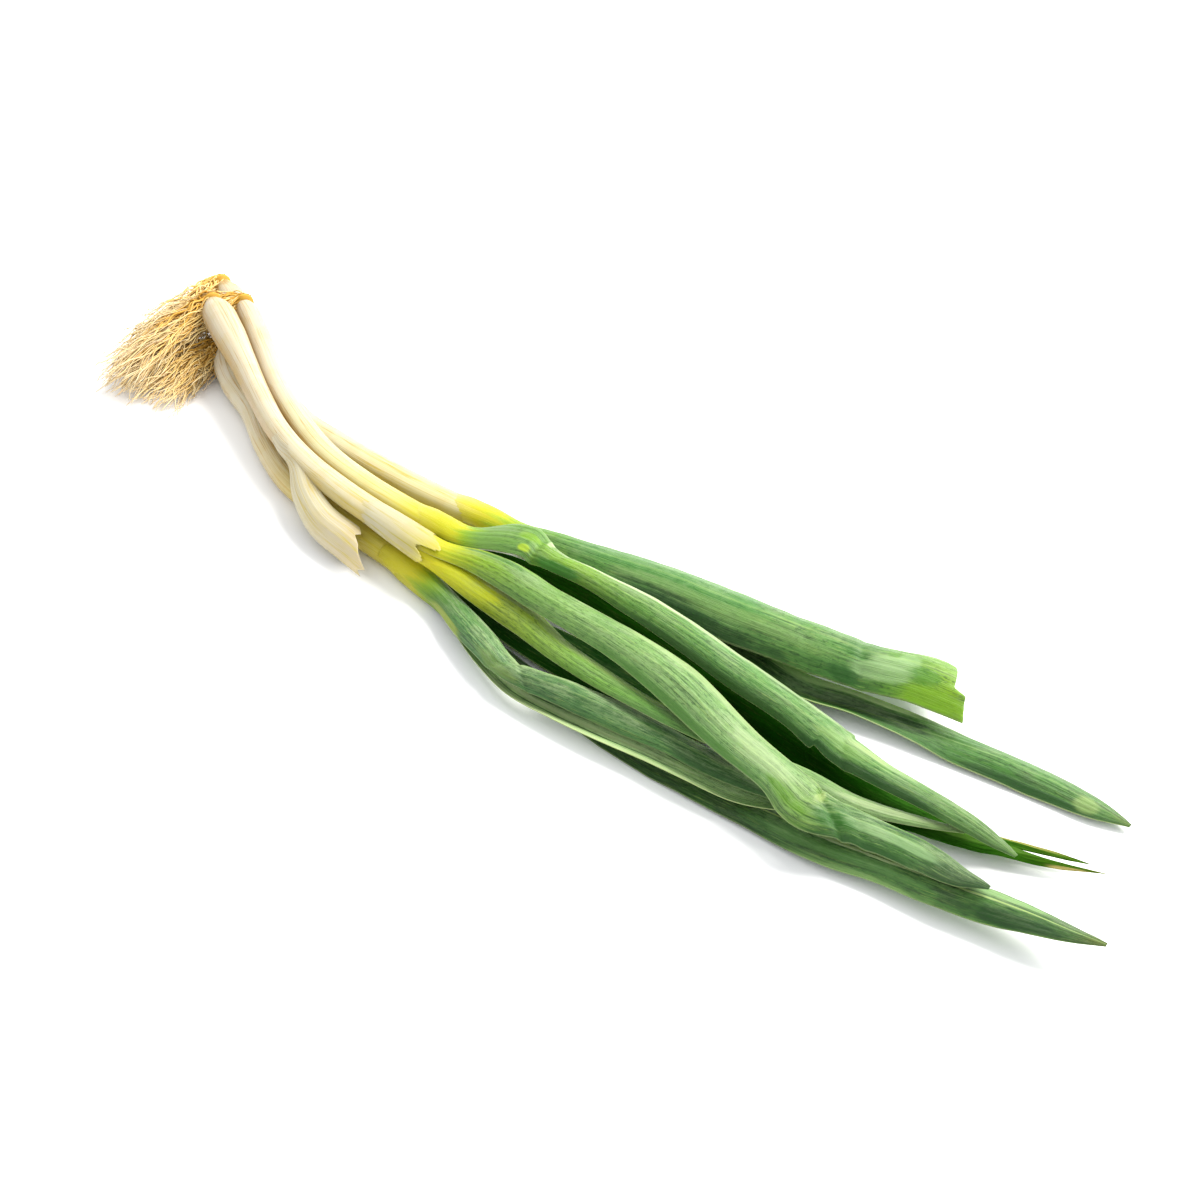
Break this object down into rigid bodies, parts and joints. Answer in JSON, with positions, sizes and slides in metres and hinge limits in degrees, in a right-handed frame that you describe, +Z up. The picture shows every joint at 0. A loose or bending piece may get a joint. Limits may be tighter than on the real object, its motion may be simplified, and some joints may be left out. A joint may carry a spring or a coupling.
{
  "type": "bunch of young leeks",
  "caption": "Bunch of slim young leeks lying on a table: twisted white shanks with root tufts at one end, folded strap leaves fanning out to pointed and torn tips at the other.",
  "frame": {"origin": "on the table top, under the middle of the bunch's box", "axes": "+X along the bunch from the roots to the leaf tips, +Z up out of the table, +Y across the bunch towards the broad cut leaf"},
  "size_m": [0.4423, 0.104, 0.023],
  "materials": {
    "shank_white": "waxy white to yellow plant skin, satin",
    "leaf_green": "waxy ribbed leaf, yellow-green at the base to dark green, pale bloom",
    "sheath_cream": "thin dry outer skin, satin",
    "root_straw": "dry fibrous roots, matte"
  },
  "bodies": {
    "root": {"leek_1_shank": "shank_white", "leek_1_roots": "root_straw", "leek_1_leaf_1": "leaf_green", "leek_1_leaf_2": "leaf_green", "leek_1_leaf_3": "leaf_green", "leek_1_leaf_4": "leaf_green", "leek_2_shank": "shank_white", "leek_2_sheath": "sheath_cream", "leek_2_roots": "root_straw", "leek_2_leaf_1": "leaf_green", "leek_2_leaf_2": "leaf_green", "leek_3_shank": "shank_white", "leek_3_roots": "root_straw", "leek_3_leaf_1": "leaf_green", "leek_3_leaf_2": "leaf_green", "leek_4_shank": "shank_white", "leek_4_roots": "root_straw", "leek_4_leaf_1": "leaf_green", "leek_4_leaf_2": "leaf_green"}
  },
  "joints": []
}
